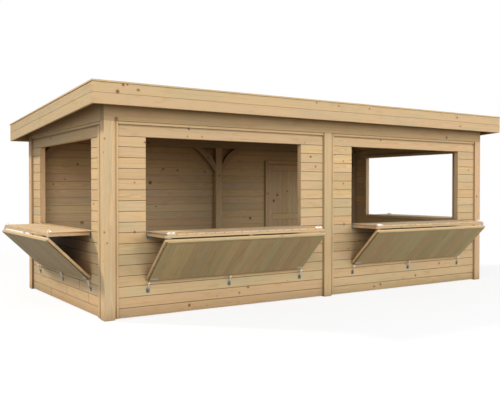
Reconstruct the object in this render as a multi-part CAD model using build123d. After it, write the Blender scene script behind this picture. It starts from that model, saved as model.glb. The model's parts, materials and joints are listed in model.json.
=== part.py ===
from build123d import *
from math import acos, atan2, cos, degrees, hypot, sin
import os

# A timber market stall: post-and-beam frame, boarded walls, four serving hatches and a back door.
# Millimetres. +X runs to the right along the front, +Y to the back, +Z up, ground at Z = 0.

# Frame
frame_width = 6100.0
frame_depth = 2900.0
post_size = 120.0
front_beam_height = 231.4
back_beam_height = 120.0
brace_reach = 400.0
brace_width = 95.0
brace_thickness = 45.0
brace_sweep = 32.0

# Boarded walls
board_thickness = 28.0
board_recess = 26.0
ground_gap = 10.0
batten_width = 24.0
batten_depth = 12.0
batten_gap = 22.0
head_batten = 30.0
batten_joint = 0.5

# Roof
roof_front_height = 2511.0
roof_fall = 189.0
eave_out = 202.0
trim_height = 18.0
trim_width = 45.0
trim_nose = 6.0
upper_fascia = 110.0
lower_fascia = 115.0
fascia_thickness = 28.0
covering_thickness = 4.0
deck_thickness = 20.0
rafter_depth = 100.0
rafter_width = 45.0
rafter_count = 11

# Serving hatches
sill_height = 932.0
head_height = 1968.0
front_side_panel = 367.0
end_side_panel = 338.0
lining_depth = 44.0
lining_width = 45.0

# Hatch leaves, each of outer boards and an inner lining
counter_margin = 4.0
brace_overlap = 4.0
leaf_boards = 27.0
leaf_lining = 18.0
lining_margin = 22.0
counter_length = 470.0
brace_length = 654.0
foot_gap = 10.0

# Hatch hinges
hinge_length = 80.0
joint_hinge_length = 46.0
hinge_inset = 2.0
sill_plate_height = 80.0
joint_plate_width = 50.0
hinge_plate = 3.0
hinge_knuckle = 4.5
hinge_pin = 2.5
pin_clearance = 0.08
knuckle_gap = 1.0
hinge_standoff = 8.0
edge_setback = 7.0
rod_sides = 8

# Hooks under the brace leaves, and slide bolts
hook_plate_width = 40.0
hook_plate_height = 45.0
hook_plate = 4.0
hook_rise = 88.0
hook_reach = 34.0
hook_rod = 5.0
hook_knob = 9.0
hook_knob_width = 20.0
hook_drop = 14.0
hook_inset = 25.0
bolt_length = 102.0
bolt_width = 28.0
bolt_plate = 2.5
bolt_bar = 5.0
bolt_inset = 12.0
bolt_setback = 4.0
bolt_keeper = 14.0
bolt_keeper_width = 16.0
bolt_keeper_height = 14.0

# Back door
door_width = 1000.0
door_height = 1845.0
door_gap = 6.0
door_foot = 25.0
door_ledge = 22.0
door_stop = 14.0
stop_gap = 6.0
ledge_clearance = 8.0
door_stile = 95.0
door_rail_height = 870.0
door_hinge_length = 120.0
door_hinge_strap = 430.0
door_hinge_width = 40.0
door_hinge_plate = 4.0
door_hinge_leaf = 62.0
door_hinge_knuckle = 7.0
door_hinge_pin = 4.0
door_hinge_height = 330.0
handle_height = 1000.0
handle_length = 160.0
handle_reach = 40.0
handle_rod = 7.0
handle_setback = 75.0

# Lengths that follow from the sizes above
leaf_thickness = leaf_boards + leaf_lining
joint_drop = leaf_thickness + hinge_knuckle
counter_reach = hinge_standoff + counter_length
slant_angle = acos((counter_reach - foot_gap) / hypot(brace_length, hinge_knuckle))
slant = slant_angle - atan2(hinge_knuckle, brace_length)
brace_fold = 180.0 - degrees(slant)
tip_out = joint_drop * sin(slant) - edge_setback * cos(slant)
flap_reach = counter_reach + tip_out - board_recess
roof_back_edge = frame_depth + eave_out + trim_nose
y_front = (flap_reach - roof_back_edge) / 2
y_back = y_front + frame_depth
x_end = frame_width / 2
half_post = post_size / 2
roof_run = frame_depth + 2 * eave_out
roof_slope = roof_fall / roof_run
bay_width = x_end - post_size - half_post
bay_centre = half_post + bay_width / 2
end_bay = frame_depth - 2 * post_size
front_opening = bay_width - 2 * front_side_panel
end_opening = end_bay - 2 * end_side_panel
y_centre = (y_front + y_back) / 2
deck_top = trim_height + covering_thickness
rafter_top = deck_top + deck_thickness
rafter_under = rafter_top + rafter_depth


def roof_z(y, below):
    """Height of the plane that lies a vertical distance below the roof's top."""
    return roof_front_height - roof_slope * (y - y_front + eave_out) - below


beam_underside = roof_z(y_front, rafter_under) - front_beam_height
back_beam_underside = roof_z(y_back, rafter_under) - back_beam_height


def block(x0, x1, y0, y1, z0, z1):
    """A square-cut timber between two opposite corners."""
    return Pos(x0, y0, z0) * Box(x1 - x0, y1 - y0, z1 - z0, align=(Align.MIN, Align.MIN, Align.MIN))


def side_profile(x0, x1, points):
    """A profile drawn from the side, in Y and Z, and run along X."""
    outline = Plane.YZ * make_face(Polyline(*points, close=True).edges())
    return Pos(x0, 0, 0) * extrude(outline, x1 - x0, dir=(1, 0, 0))


def sloped(x0, x1, y0, y1, top, bottom):
    """A timber under the roof's plane, with plumb ends."""
    points = [(y0, roof_z(y0, bottom)), (y1, roof_z(y1, bottom)), (y1, roof_z(y1, top)), (y0, roof_z(y0, top))]
    return side_profile(x0, x1, points)


def rod(start, end, radius, pointed=False):
    """An eight-sided bar whose flats, or corners if pointed, lie a radius from the line between two points."""
    run = Vector(*end) - Vector(*start)
    turn = 0 if pointed else 180 / rod_sides
    section = RegularPolygon(radius, rod_sides, major_radius=pointed, rotation=turn)
    return extrude(Plane(origin=start, z_dir=run) * section, run.length)


def save(name, shapes):
    """Write one node."""
    solids = [s for shape in shapes for s in shape.solids()]
    export_step(solids[0] if len(solids) == 1 else Compound(children=solids), f"parts/{name}.step")


os.makedirs("parts", exist_ok=True)

# Posts
corner_posts = []
for side in (-1, 1):
    inner, outer = sorted((side * x_end, side * (x_end - post_size)))
    corner_posts.append(block(inner, outer, y_front, y_front + post_size, 0, beam_underside))
    corner_posts.append(block(inner, outer, y_back - post_size, y_back, 0, back_beam_underside))
save("corner_posts", corner_posts)
save("middle_posts", [
    block(-half_post, half_post, y_front, y_front + post_size, 0, beam_underside),
    block(-half_post, half_post, y_back - post_size, y_back, 0, back_beam_underside),
])

# Beams, with tops cut to the roof's slope
front_inner = y_front + post_size
back_inner = y_back - post_size
save("front_beam", [side_profile(-x_end, x_end, [
    (y_front, beam_underside), (front_inner, beam_underside),
    (front_inner, roof_z(front_inner, rafter_under)), (y_front, roof_z(y_front, rafter_under))])])
save("back_beam", [side_profile(-x_end, x_end, [
    (back_inner, back_beam_underside), (y_back, back_beam_underside),
    (y_back, roof_z(y_back, rafter_under)), (back_inner, roof_z(back_inner, rafter_under))])])
end_beam_outline = [
    (front_inner, beam_underside), (back_inner, beam_underside),
    (back_inner, roof_z(back_inner, rafter_under)), (front_inner, roof_z(front_inner, rafter_under))]
save("end_beams", [
    side_profile(-x_end, -x_end + post_size, end_beam_outline),
    side_profile(x_end - post_size, x_end, end_beam_outline)])

# Arched knee braces between posts and beams
cut = brace_width * 2 ** 0.5


def knee_brace(x, toward, y0, underside):
    """An arched brace from a post's side at x up to the beam above."""
    bow = brace_sweep / 2 ** 0.5
    middle = brace_reach / 2
    inner_middle = (brace_reach - cut) / 2
    inner_reach = brace_reach - cut
    lower = ThreePointArc((0, -brace_reach), (middle - bow, -middle + bow), (brace_reach, 0))
    upper = ThreePointArc((inner_reach, 0), (inner_middle - bow, -inner_middle + bow), (0, -inner_reach))
    outline = make_face([
        lower, Line((brace_reach, 0), (inner_reach, 0)), upper, Line((0, -inner_reach), (0, -brace_reach))])
    brace = extrude(Plane.XZ * outline, brace_thickness, dir=(0, 1, 0))
    if toward < 0:
        brace = mirror(brace, Plane.YZ)
    return Pos(x, y0, underside) * brace


knee_braces = []
for y0, underside in ((front_inner - brace_thickness, beam_underside), (back_inner, back_beam_underside)):
    for x, toward in ((-x_end + post_size, 1), (-half_post, -1), (half_post, 1), (x_end - post_size, -1)):
        knee_braces.append(knee_brace(x, toward, y0, underside))
save("knee_braces", knee_braces)

# Roof
eave_front = y_front - eave_out
eave_back = y_back + eave_out
eave_end = x_end + eave_out
inside_front = eave_front + fascia_thickness
inside_back = eave_back - fascia_thickness
inside_end = eave_end - fascia_thickness
first_rafter = -x_end + half_post
rafter_step = 2 * (x_end - half_post) / (rafter_count - 1)
rafter_places = [first_rafter + i * rafter_step for i in range(rafter_count)]
rafter_places += [-inside_end + rafter_width / 2, inside_end - rafter_width / 2]
save("rafters", [
    sloped(x - rafter_width / 2, x + rafter_width / 2, inside_front, inside_back, rafter_top, rafter_under)
    for x in rafter_places])
save("roof_deck", [sloped(-inside_end, inside_end, inside_front, inside_back, deck_top, rafter_top)])
save("roof_covering", [sloped(-inside_end, inside_end, inside_front, inside_back, trim_height, deck_top)])
fascia_joint = trim_height + upper_fascia
fascia_bottom = fascia_joint + lower_fascia
for name, top, bottom in (("upper", trim_height, fascia_joint), ("lower", fascia_joint, fascia_bottom)):
    save(f"{name}_fascia_front_back", [
        sloped(-eave_end, eave_end, eave_front, inside_front, top, bottom),
        sloped(-eave_end, eave_end, inside_back, eave_back, top, bottom)])
    save(f"{name}_fascia_ends", [
        sloped(-eave_end, -inside_end, inside_front, inside_back, top, bottom),
        sloped(inside_end, eave_end, inside_front, inside_back, top, bottom)])
trim_in = trim_width - trim_nose
roof_trim = sloped(
    -eave_end - trim_nose, eave_end + trim_nose, eave_front - trim_nose, eave_back + trim_nose, 0, trim_height)
roof_trim -= sloped(
    -eave_end + trim_in, eave_end - trim_in, eave_front + trim_in, eave_back - trim_in,
    -trim_height, 2 * trim_height)
save("roof_trim", [roof_trim])


def wall_slab(width, top, opening):
    """Boards of one bay, outer face on Y = 0 and outside toward -Y, with the hatch cut through."""
    slab = block(-width / 2, width / 2, 0, board_thickness, ground_gap, top)
    if opening:
        slab -= block(-opening / 2, opening / 2, -board_thickness, 2 * board_thickness,
                      sill_height, head_height)
    return slab


def hatch_lining(opening):
    """The frame behind the boards around a hatch."""
    half = opening / 2
    outer = block(-half - lining_width, half + lining_width, board_thickness, board_thickness + lining_depth,
                  sill_height - lining_width, head_height + lining_width)
    return outer - block(-half, half, 0, board_thickness + 2 * lining_depth, sill_height, head_height)


def bay_battens(width, top, end):
    """Cover strips beside the post at one end of a bay and under the beam, standing on the boards."""
    outer = width / 2 - batten_gap
    inner = outer - batten_width
    x0, x1 = sorted((end * inner, end * outer))
    head0, head1 = sorted((end * (inner - batten_joint), end * (batten_joint - width / 2)))
    return [
        block(x0, x1, -batten_depth, 0, ground_gap, top),
        block(head0, head1, -batten_depth, 0, top - head_batten, top)]


# Where each wall's outer board face lies
front_face = y_front + board_recess
back_face = y_back - board_recess
end_face = x_end - board_recess
places = {
    "front_left": Pos(-bay_centre, front_face, 0),
    "front_right": Pos(bay_centre, front_face, 0),
    "left_end": Pos(-end_face, y_centre, 0) * Rot(0, 0, -90),
    "right_end": Pos(end_face, y_centre, 0) * Rot(0, 0, 90),
}
openings = {
    "front_left": front_opening, "front_right": front_opening,
    "left_end": end_opening, "right_end": end_opening}
widths = {"front_left": bay_width, "front_right": bay_width, "left_end": end_bay, "right_end": end_bay}
strip_ends = {"front_left": -1, "front_right": -1, "left_end": 1, "right_end": -1}

linings = []
battens = []
for hatch, place in places.items():
    save(f"{hatch}_wall", [place * wall_slab(widths[hatch], beam_underside, openings[hatch])])
    linings.append(place * hatch_lining(openings[hatch]))
    battens += [place * strip for strip in bay_battens(widths[hatch], beam_underside, strip_ends[hatch])]
save("window_frames", linings)

# Back wall, closed but for the doorway in the right bay
back_left = Pos(-bay_centre, back_face, 0) * Rot(0, 0, 180)
back_right = Pos(bay_centre, back_face, 0) * Rot(0, 0, 180)
save("back_left_wall", [back_left * wall_slab(bay_width, back_beam_underside, 0)])
for place in (back_left, back_right):
    battens += [place * strip for strip in bay_battens(bay_width, back_beam_underside, 1)]
save("panel_battens", battens)
half_bay = bay_width / 2
half_door = door_width / 2
save("door_side_walls", [
    back_right * block(-half_bay, -half_door, 0, board_thickness, ground_gap, back_beam_underside),
    back_right * block(half_door, half_bay, 0, board_thickness, ground_gap, back_beam_underside)])
save("over_door_wall", [
    back_right * block(-half_door, half_door, 0, board_thickness, door_height, back_beam_underside)])
door_frame = block(-half_door - lining_width, half_door + lining_width, board_thickness,
                   board_thickness + lining_depth, 0, door_height + lining_width)
door_frame -= block(-half_door, half_door, 0, board_thickness + stop_gap, -lining_width, door_height)
half_doorway = half_door - door_stop
door_frame -= block(-half_doorway, half_doorway, 0, board_thickness + 2 * lining_depth,
                    -lining_width, door_height - door_stop)
save("door_frame", [back_right * door_frame])


def hinge_halves(length, plate, knuckle, pin, drop, fixed_reach, moving_reach, moving_width):
    """Fixed and moving halves of a hinge along X, pin at the origin, each plate running to +Y on Z = -drop."""
    half = length / 2
    middle = length / 6
    shoulder = middle + knuckle_gap
    clear = 2 * knuckle
    fixed = rod((-half, 0, 0), (half, 0, 0), pin, pointed=True)
    for x0, x1 in ((-half, -shoulder), (shoulder, half)):
        fixed += rod((x0, 0, 0), (x1, 0, 0), knuckle)
        fixed += block(x0, x1, 0, clear, -drop, 0)
    fixed += block(-half, half, clear, fixed_reach, -drop, plate - drop)
    moving = rod((-middle, 0, 0), (middle, 0, 0), knuckle)
    moving += block(-middle, middle, 0, clear, -drop, 0)
    moving += block(-moving_width / 2, moving_width / 2, clear, moving_reach, -drop, plate - drop)
    moving -= rod((-half, 0, 0), (half, 0, 0), pin + pin_clearance)
    return fixed, moving


def leaf(near, far, width):
    """A hatch leaf lying flat from Y = -near to Y = -far, its lining on top at Z = 0 and its boards below."""
    half = width / 2
    inner = half - lining_margin
    boards = block(-half, half, -far, -near, -leaf_thickness, -leaf_lining)
    return boards + block(-inner, inner, -far, -near, -leaf_lining, 0)


def bolt_back(side, half, far):
    """The back plate of a slide bolt, in an outer corner of a leaf's lining."""
    end = half - lining_margin - bolt_setback
    x0, x1 = sorted((side * end, side * (end - bolt_length)))
    return block(x0, x1, bolt_inset - far, bolt_inset + bolt_width - far, 0, bolt_plate)


def slide_bolt(side, half, far):
    """A slide bolt on its back plate, held by two keepers."""
    bolt = bolt_back(side, half, far)
    box = bolt.bounding_box()
    y = box.center().Y
    bolt += rod((box.min.X, y, bolt_plate + bolt_bar), (box.max.X, y, bolt_plate + bolt_bar), bolt_bar)
    y0 = y - bolt_keeper_width / 2
    y1 = y + bolt_keeper_width / 2
    for x in (box.min.X + bolt_keeper, box.max.X - 2 * bolt_keeper):
        bolt += block(x, x + bolt_keeper, y0, y1, 0, bolt_keeper_height)
    return bolt


# Hatch leaves and their ironwork, each hatch drawn with its outer board face on Y = 0
wall_ironwork = []
counter_set = Pos(0, -hinge_standoff, sill_height)
joint_axis = counter_set * Pos(0, -counter_length, -joint_drop)
brace_set = joint_axis * Rot(brace_fold, 0, 0)
lining_face = brace_set * Pos(0, 0, joint_drop)
brace_foot = sill_height - joint_drop - brace_length * sin(slant) - joint_drop * cos(slant)
sill_fixed, sill_moving = hinge_halves(
    hinge_length, hinge_plate, hinge_knuckle, hinge_pin, hinge_standoff,
    sill_plate_height, leaf_thickness, hinge_length)
joint_fixed, joint_moving = hinge_halves(
    joint_hinge_length, hinge_plate, hinge_knuckle, hinge_pin, hinge_knuckle,
    joint_plate_width, joint_plate_width, joint_hinge_length)
plate_down = Rot(-90, 0, 0)
face_about = Rot(0, 180, 0)
knob_height = brace_foot - hook_drop - hook_knob
hook_foot = knob_height - hook_rise
hook = block(-hook_plate_width / 2, hook_plate_width / 2, -hook_plate, 0,
             hook_foot - hook_plate_height / 2, hook_foot + hook_plate_height / 2)
hook += rod((0, -hook_plate / 2 - hook_rod, hook_foot), (0, -hook_reach, knob_height), hook_rod)
hook += rod((-hook_knob_width / 2, -hook_reach, knob_height), (hook_knob_width / 2, -hook_reach, knob_height),
            hook_knob)
for hatch, place in places.items():
    counter_half = openings[hatch] / 2 - counter_margin
    brace_half = openings[hatch] / 2 + brace_overlap
    counter_end = counter_length - edge_setback
    save(f"{hatch}_counter", [place * counter_set * leaf(hinge_standoff, counter_end, 2 * counter_half)])
    save(f"{hatch}_brace_leaf", [place * lining_face * leaf(edge_setback, brace_length, 2 * brace_half)])
    last_hinge = counter_half - hinge_inset - hinge_length / 2
    hinge_places = [Pos(x, 0, 0) for x in (-last_hinge, 0, last_hinge)]
    counter_iron = [counter_set * spot * plate_down * sill_moving for spot in hinge_places]
    counter_iron += [joint_axis * spot * face_about * joint_fixed for spot in hinge_places]
    counter_iron += [counter_set * slide_bolt(side, counter_half, counter_end) for side in (-1, 1)]
    save(f"{hatch}_counter_ironwork", [place * piece for piece in counter_iron])
    brace_iron = [brace_set * spot * Rot(180, 0, 0) * joint_moving for spot in hinge_places]
    brace_iron += [lining_face * bolt_back(side, brace_half, brace_length) for side in (-1, 1)]
    save(f"{hatch}_brace_ironwork", [place * piece for piece in brace_iron])
    sill_plates = [counter_set * spot * plate_down * face_about * sill_fixed for spot in hinge_places]
    wall_ironwork += [place * plate for plate in sill_plates]
    last_hook = brace_half - hook_inset
    wall_ironwork += [place * Pos(x, 0, 0) * hook for x in (-last_hook, 0, last_hook)]

# Back door, hung on strap hinges at the stall's right-hand side
door_x0 = -half_door + door_gap
door_x1 = half_door - door_gap
door_top = door_height - door_gap
save("door_leaf", [back_right * block(door_x0, door_x1, 0, board_thickness, door_foot, door_top)])
ledge_back = board_thickness + door_ledge
ledge_half = half_doorway - ledge_clearance
ledge_top = door_height - door_stop - ledge_clearance
panel_half = ledge_half - door_stile
door_inner = block(-ledge_half, ledge_half, board_thickness, ledge_back, door_foot, ledge_top)
door_inner -= block(-panel_half, panel_half, 0, 2 * ledge_back, door_foot + door_stile, door_rail_height)
door_inner -= block(-panel_half, panel_half, 0, 2 * ledge_back,
                    door_rail_height + door_stile, ledge_top - door_stile)
save("door_ledges", [back_right * door_inner])
strap_fixed, strap_moving = hinge_halves(
    door_hinge_length, door_hinge_plate, door_hinge_knuckle, door_hinge_pin, door_hinge_knuckle,
    door_hinge_leaf, door_hinge_strap, door_hinge_width)
door_iron = []
for z in (door_foot + door_hinge_height, door_top - door_hinge_height):
    hinge_place = back_right * Location(Plane(
        origin=(-half_door + door_gap / 2, -door_hinge_knuckle, z), x_dir=(0, 0, 1), z_dir=(0, -1, 0)))
    wall_ironwork.append(hinge_place * strap_fixed)
    door_iron.append(hinge_place * Rot(0, 0, 180) * strap_moving)
handle_x = door_x1 - handle_setback
handle_bottom = handle_height - handle_length / 2
handle_top = handle_height + handle_length / 2
handle = rod((handle_x, -handle_reach, handle_bottom), (handle_x, -handle_reach, handle_top), handle_rod)
for z in (handle_bottom + handle_rod, handle_top - handle_rod):
    handle += rod((handle_x, -handle_reach, z), (handle_x, 0, z), handle_rod)
door_iron.append(back_right * handle)
save("door_ironwork", door_iron)
save("wall_ironwork", wall_ironwork)
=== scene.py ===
import bmesh
import bpy
import json
import math
import numpy as np
import random
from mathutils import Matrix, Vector


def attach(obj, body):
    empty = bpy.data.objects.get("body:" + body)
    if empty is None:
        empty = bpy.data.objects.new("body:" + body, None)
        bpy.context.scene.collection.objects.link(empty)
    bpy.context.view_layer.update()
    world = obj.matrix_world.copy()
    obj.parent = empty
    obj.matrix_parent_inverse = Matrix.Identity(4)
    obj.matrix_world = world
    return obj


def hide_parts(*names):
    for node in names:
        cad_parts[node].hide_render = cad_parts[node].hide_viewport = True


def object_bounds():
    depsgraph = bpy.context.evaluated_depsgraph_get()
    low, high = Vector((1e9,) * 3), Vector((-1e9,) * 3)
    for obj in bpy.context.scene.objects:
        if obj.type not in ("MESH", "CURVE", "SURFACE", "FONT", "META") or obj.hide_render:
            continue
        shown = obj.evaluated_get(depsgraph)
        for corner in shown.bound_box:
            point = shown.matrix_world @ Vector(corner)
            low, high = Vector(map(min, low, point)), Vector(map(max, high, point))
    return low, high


# Looks of a timber market stall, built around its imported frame. Metres.

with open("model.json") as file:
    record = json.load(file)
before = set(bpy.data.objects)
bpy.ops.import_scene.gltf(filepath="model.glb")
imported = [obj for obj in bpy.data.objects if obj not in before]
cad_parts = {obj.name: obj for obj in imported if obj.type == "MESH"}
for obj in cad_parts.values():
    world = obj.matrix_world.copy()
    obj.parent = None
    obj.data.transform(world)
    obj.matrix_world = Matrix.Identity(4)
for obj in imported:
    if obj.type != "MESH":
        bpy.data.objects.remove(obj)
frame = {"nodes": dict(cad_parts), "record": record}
cad_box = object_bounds()
nodes = frame["nodes"]
record = frame["record"]
body_of = {node: body for body, members in record["behaviour"]["bodies"].items() for node in members}

HATCHES = ("front_left", "front_right", "left_end", "right_end")
END_WALLS = ("left_end_wall", "right_end_wall")
UP = Vector((0, 0, 1))

# Boards
BOARD_PITCH = 0.116
GROOVE_WIDTH = 0.005
GROOVE_DEPTH = 0.009
BOARD_ARRIS = 0.002
INNER_ARRIS = 0.0042
TOP_REBATE = 0.047
NEAR_FILLET = 0.022
FAR_FILLET = 0.012
FILLET_PROUD = 0.006
CORNER_STRIP = (0.056, 0.024)

# Butt joints: in the boards' rows as places along each wall, in end fascias as side of the stall and place along Y
BUTT_GAP = 0.004
BUTTS = {
    "left_end_wall": {0: (0.635,), 1: (0.004, -0.758), 2: (-0.454,), 3: (0.51,)},
    "right_end_wall": {0: (-0.42,), 1: (0.56,), 2: (-0.80, 0.14)},
}
FASCIA_BUTTS = {"lower_fascia_ends": ((-1, 0.319), (1, -0.42))}

# Hatch leaves
PLANK_GAP = 0.0004
PLANK_ARRIS = 0.0008
PLANK_HOLLOW = (0.0045, 0.004)
EDGE_STRIP = 0.026
EDGE_GAP = 0.0015
# Counter linings are tinted lighter and bluer: painted light on the counter tops
COUNTER_TOP_LIGHT = (1.13, 1.14, 1.23)
# Brace linings are tinted darker and greener as painted shade, the left end's brace darker still
BRACE_SHADE_TINT = (0.74, 0.80, 0.77)
BRACE_SHADE_TONES = {"left_end_brace_leaf": 0.87}

# Timbers with eased edges: tone, and how pale; the dark tones of the front and back beams and the knee braces are
# painted shade under the roof
TIMBERS = {
    "corner_posts": (1.06, 0.1), "middle_posts": (1.02, 0.0), "front_beam": (0.72, 0.0), "back_beam": (0.72, 0.0),
    "end_beams": (0.94, 0.0), "knee_braces": (0.8, 0.0), "rafters": (0.62, 0.0), "panel_battens": (1.02, 0.0),
}
FASCIAS = ("upper_fascia_front_back", "upper_fascia_ends", "lower_fascia_front_back", "lower_fascia_ends")
FASCIA_TONE = 0.92
DECK_TONE = 0.6
TIMBER_EASE = 0.003
FASCIA_EASE = 0.0052
TRIM_EASE = 0.001

# Roof covering
COVERING_EASE = 0.001
LAP_WIDTH = 0.09
LAP_HEIGHT = 0.004
LAP_STEP = 0.92

# Ironwork: screw rings as reach, height and waist, knob rings as radius and height
SCREW_RADIUS = 0.0035
SCREW_INSET = 0.0075
SCREW_STEP = 0.11
SCREW_SIDES = 12
SCREW_RINGS = ((1.0, 0.0, 1.0), (0.92, 0.30, 1.0), (0.52, 0.42, 0.36), (0.48, 0.05, 0.36))
KNOB_RINGS = ((0.0032, 0.0), (0.0032, 0.007), (0.0055, 0.009), (0.0060, 0.012), (0.0045, 0.0145), (0.0020, 0.0155))
KNOB_SINK = 0.002
STEEL_EASE = 0.0006
PLATE_AREA = 0.0004
STRAP_RATIO = 4
HOOK_HEIGHT = 0.11
HOOK_TOP = 0.024
# Zinc tints: bright plating on the bolts, and on the hooks a painted glint on the knob and a painted dark reflection
# on the rod and plate
BRIGHT_ZINC_AND_GLINT = (1.0, 1.0, 1.0, 1)
WORN_ZINC = (0.52, 0.53, 0.53, 1)
DARK_REFLECTION_ZINC = (0.16, 0.17, 0.16, 1)

# Limits that tell places, edges and faces of the CAD meshes apart
HAIR = 0.0005
SNAP = 0.02
WALL_REACH = 0.06
WELD = 1e-5
SAW_WELD = 1e-6
FLAT_ANGLE = 0.01
SHARP_ANGLE = 0.4
FACING = 0.98

# Wood: noises as scale along, scale across, detail and roughness, and ramps as span and result
WOOD_SEED = 116
RING_WIDTH = 0.0045
PITH_NEAR = 0.03
PITH_FAR = 0.11
LOG_LENGTH = 40.0
WANDER = (0.9, 7.0, 2.0, 0.5)
WANDER_REACH = 0.035
FIBRE = (6.0, 420.0, 3.0, 0.6)
STREAK = (0.8, 55.0, 3.0, 0.6)
PATCH = (1.6, 9.0, 2.0, 0.5)
FIGURE = (5.0, 16.0, 3.0, 0.55)
EARLY_WOOD = (0.640, 0.455, 0.255, 1)
LATE_WOOD = (0.450, 0.285, 0.135, 1)
GREEN_WOOD = (0.500, 0.410, 0.250, 1)
PINK_WOOD = (0.620, 0.395, 0.225, 1)
LATE_RISE = (0.25, 0.85)
LATE_FALL = (1.0, 0.9)
LATE_SHARE = 0.46
FIGURE_RAMP = (0.52, 0.78, 0.0, 0.45)
GREEN_RAMP = (0.48, 0.72, 0.0, 0.6)
PINK_RAMP = (0.46, 0.28, 0.0, 0.25)
STREAK_RAMP = (0.5, 0.75, 0.0, 0.42)
ARRIS_WEAR = 0.2
WOOD_ROUGHNESS = (0.3, 0.7, 0.58, 0.74)
WOOD_SHINE = 0.3
FIBRE_RELIEF = 0.6
LATE_RELIEF = -0.5
KNOT_RELIEF = 0.6
WOOD_RELIEF = 0.0005
TIMBER_LIGHT = (0.91, 1.05)
TIMBER_WARMTH = 0.06
TIMBER_PINK = 0.02
WARM_RED = 0.4
PLANK_LIGHT = (0.92, 1.08)
PLANK_DRIFT = (0.96, 1.04)

# Painted shade on the wood
# Painted shade in joints, grooves and gaps, darker where other surfaces are close
JOINT_SHADE = (0.100, 0.062, 0.030, 1)
JOINT_SHADE_REACH = 0.022
JOINT_SHADE_RAMP = (0.75, 0.25, 0.0, 0.42)
# Painted shade under eaves, leaves and the roof, from how closed in a place is
DEEP_SHADE_REACH = 0.32
DEEP_SHADE_RAMP = (0.82, 0.22)
DEEP_SHADE_TINT = (0.46, 0.38, 0.30, 1)
SHADE_SAMPLES = 8
# Painted shade indoors: where indoors is, and how its tint darkens towards the roof
INDOORS_WIDE = (2.95, 2.85)
INDOORS_FRONT = (-1.24, -1.20)
INDOORS_BACK = (1.55, 1.54)
INDOOR_SHADE_HEIGHT = (1.35, 2.15)
INDOOR_SHADE_TINT = (0.70, 0.60, 0.48, 1)

# Knots
KNOT_CORE = (0.145, 0.068, 0.031, 1)
KNOT_RIM = (0.345, 0.190, 0.085, 1)
KNOT_STEP = (0.42, 0.135)
KNOT_RANDOMNESS = 0.9
KNOT_SHARE = 0.18
KNOT_RADII = (0.004, 0.015)
KNOT_STRETCH = 0.7
KNOT_RAGGED = 0.004
KNOT_HEART = 0.72
RIM_EDGE = (0.006, -0.001)
RIM_SHARE = 0.6
CORE_EDGE = (0.001, -0.002)
CORE_SHARES = (0.5, 0.95)
HALO_EDGE = (0.030, 0.0)
HALO_SHARE = 0.35
KNOT_SLOTS = 6
KNOT_OVERLAP = 0.3
NO_KNOT = (0.0, 0.0, 0.0, -100.0)

# Zinc and roofing
CLOUD_SCALE = (60, 60, 60)
BRUSHED_SCALE = (40, 2500, 2500)
DULL_ZINC = (0.60, 0.60, 0.59, 1)
PALE_ZINC = (0.82, 0.82, 0.80, 1)
ZINC_ROUGHNESS = (0.3, 0.7, 0.28, 0.48)
ZINC_RELIEF = 0.00008
GRIT_SCALE = (700, 700, 700)
GRIT_RAMP = (0.35, 0.65)
STAIN_SCALE = (2, 2, 2)
STAIN_RAMP = (0.45, 0.7, 0.0, 0.4)
DARK_GRIT = (0.030, 0.031, 0.033, 1)
PALE_GRIT = (0.085, 0.086, 0.088, 1)
ROOF_STAIN = (0.12, 0.115, 0.105, 1)
ROOF_ROUGHNESS = 0.9
ROOF_RELIEF = 0.0008

# Knots that show: place and radius
KNOTS = (
    (-2.917, -1.515, 2.477, 0.017), (-2.871, -1.515, 2.485, 0.013), (-2.979, -1.515, 2.403, 0.023),
    (-2.913, -1.313, 2.146, 0.023), (-0.354, -1.515, 2.472, 0.012), (0.004, -1.515, 2.458, 0.012),
    (0.534, -1.515, 2.455, 0.013), (2.277, -1.313, 2.163, 0.022), (0.964, -1.287, 2.077, 0.018),
    (-2.028, -1.278, 2.082, 0.019), (-1.859, -1.287, 1.999, 0.009), (-3.044, -1.313, 1.929, 0.010),
    (-1.207, 1.533, 1.500, 0.031), (-0.734, 1.533, 1.699, 0.018), (-0.232, 1.533, 1.686, 0.018),
    (0.655, 1.533, 0.903, 0.027), (1.225, 1.533, 1.296, 0.023), (1.145, 1.533, 1.195, 0.029),
    (0.994, 1.489, 1.320, 0.017), (1.443, 1.533, 1.360, 0.016), (-2.299, 1.533, 0.908, 0.030),
    (-2.366, 1.533, 1.761, 0.017), (-2.719, 1.533, 1.469, 0.013), (-3.024, -1.046, 1.697, 0.009),
    (-3.050, -1.296, 1.785, 0.010), (-3.018, -1.313, 0.827, 0.009), (-3.050, -1.306, 0.942, 0.014),
    (-3.024, 0.636, 2.061, 0.018), (-2.695, -1.285, 0.932, 0.014), (-2.695, -1.287, 1.470, 0.010),
    (-2.027, -1.287, 0.074, 0.019), (-0.188, -1.287, 1.689, 0.016), (0.297, -1.287, 0.933, 0.017),
    (2.806, -1.287, 1.689, 0.014), (2.972, -1.313, 1.288, 0.018), (2.154, -1.287, 0.299, 0.018),
    (0.963, -1.287, 0.079, 0.021), (0.283, -1.287, 1.768, 0.012), (0.284, -1.287, 1.472, 0.012),
    (-1.352, -1.287, 0.159, 0.013), (1.655, -1.287, 0.154, 0.016), (-3.252, 0.604, 2.201, 0.010),
)

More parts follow.
